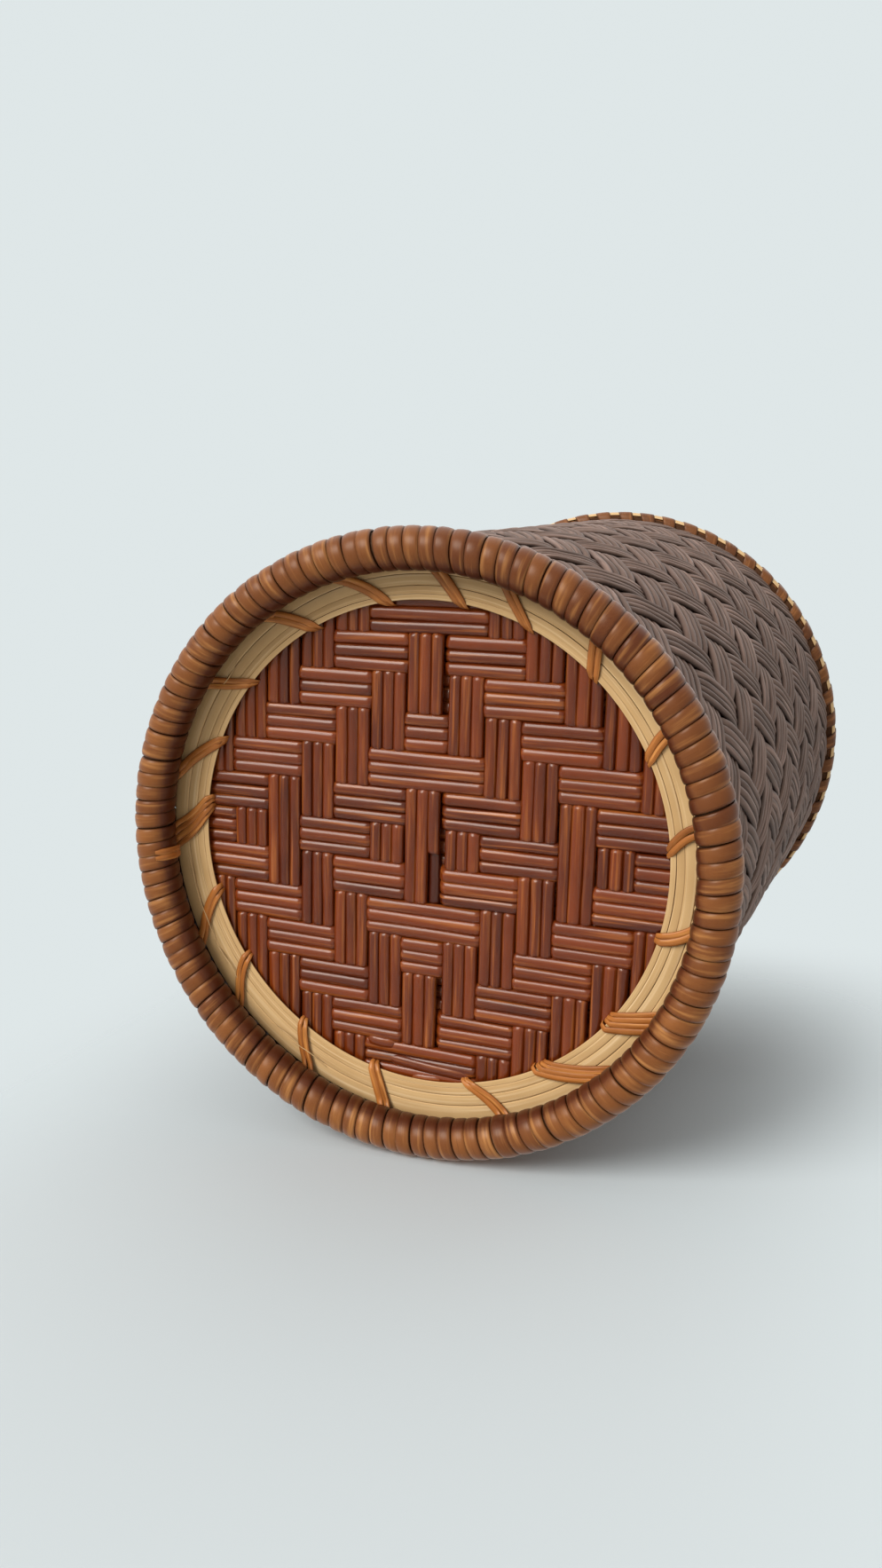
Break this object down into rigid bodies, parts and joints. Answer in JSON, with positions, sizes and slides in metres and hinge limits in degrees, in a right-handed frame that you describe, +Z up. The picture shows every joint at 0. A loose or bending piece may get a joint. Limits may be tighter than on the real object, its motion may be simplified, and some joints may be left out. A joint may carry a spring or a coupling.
{
  "type": "waste basket",
  "caption": "Tall round open-topped woven waste basket with an oblique-twill side, a woven base set up inside a peel-wrapped foot ring, and a peel-wrapped rim.",
  "frame": {"origin": "middle of the foot ring, on the floor that the basket stands on", "axes": "+Z up along the basket's axis, from the foot ring to the rim; X and Y are across it"},
  "size_m": [0.2406, 0.2406, 0.3097],
  "materials": {
    "foot_peel": "glossy rattan peel",
    "lashing_peel": "glossy rattan peel",
    "rim_peel": "satin rattan peel",
    "base_reed": "lacquered reed",
    "side_strand": "matt dyed reed",
    "pale_splint": "bare split cane",
    "hoop_cane": "bare round cane"
  },
  "bodies": {
    "root": {"foot_ring_core": "hoop_cane", "foot_wrap_1": "foot_peel", "foot_wrap_2": "foot_peel", "foot_wrap_3": "foot_peel", "foot_wrap_4": "foot_peel", "foot_wrap_5": "foot_peel", "hoop_splint_inner": "pale_splint", "hoop_splint_middle": "pale_splint", "hoop_splint_outer": "pale_splint", "lashing_01": "lashing_peel", "lashing_02": "lashing_peel", "lashing_03": "lashing_peel", "lashing_04": "lashing_peel", "lashing_05": "lashing_peel", "lashing_06": "lashing_peel", "lashing_07": "lashing_peel", "lashing_08": "lashing_peel", "lashing_09": "lashing_peel", "lashing_10": "lashing_peel", "lashing_11": "lashing_peel", "lashing_12": "lashing_peel", "lashing_13": "lashing_peel", "lashing_14": "lashing_peel", "lashing_15": "lashing_peel", "lashing_16": "lashing_peel", "lashing_17": "lashing_peel", "lashing_18": "lashing_peel", "base_weft_01": "base_reed", "base_weft_02": "base_reed", "base_weft_03": "base_reed", "base_weft_04": "base_reed", "base_weft_05": "base_reed", "base_weft_06": "base_reed", "base_weft_07": "base_reed", "base_weft_08": "base_reed", "base_weft_09": "base_reed", "base_weft_10": "base_reed", "base_weft_11": "base_reed", "base_weft_12": "base_reed", "base_weft_13": "base_reed", "base_warp_01": "base_reed", "base_warp_02": "base_reed", "base_warp_03": "base_reed", "base_warp_04": "base_reed", "base_warp_05": "base_reed", "base_warp_06": "base_reed", "base_warp_07": "base_reed", "base_warp_08": "base_reed", "base_warp_09": "base_reed", "base_warp_10": "base_reed", "base_warp_11": "base_reed", "base_warp_12": "base_reed", "base_warp_13": "base_reed", "woven_side": "side_strand", "rim_hoop_inner": "hoop_cane", "rim_hoop_outer": "hoop_cane", "rim_listing": "pale_splint", "rim_wrap_1": "rim_peel", "rim_wrap_2": "rim_peel", "rim_wrap_3": "rim_peel"}
  },
  "joints": []
}
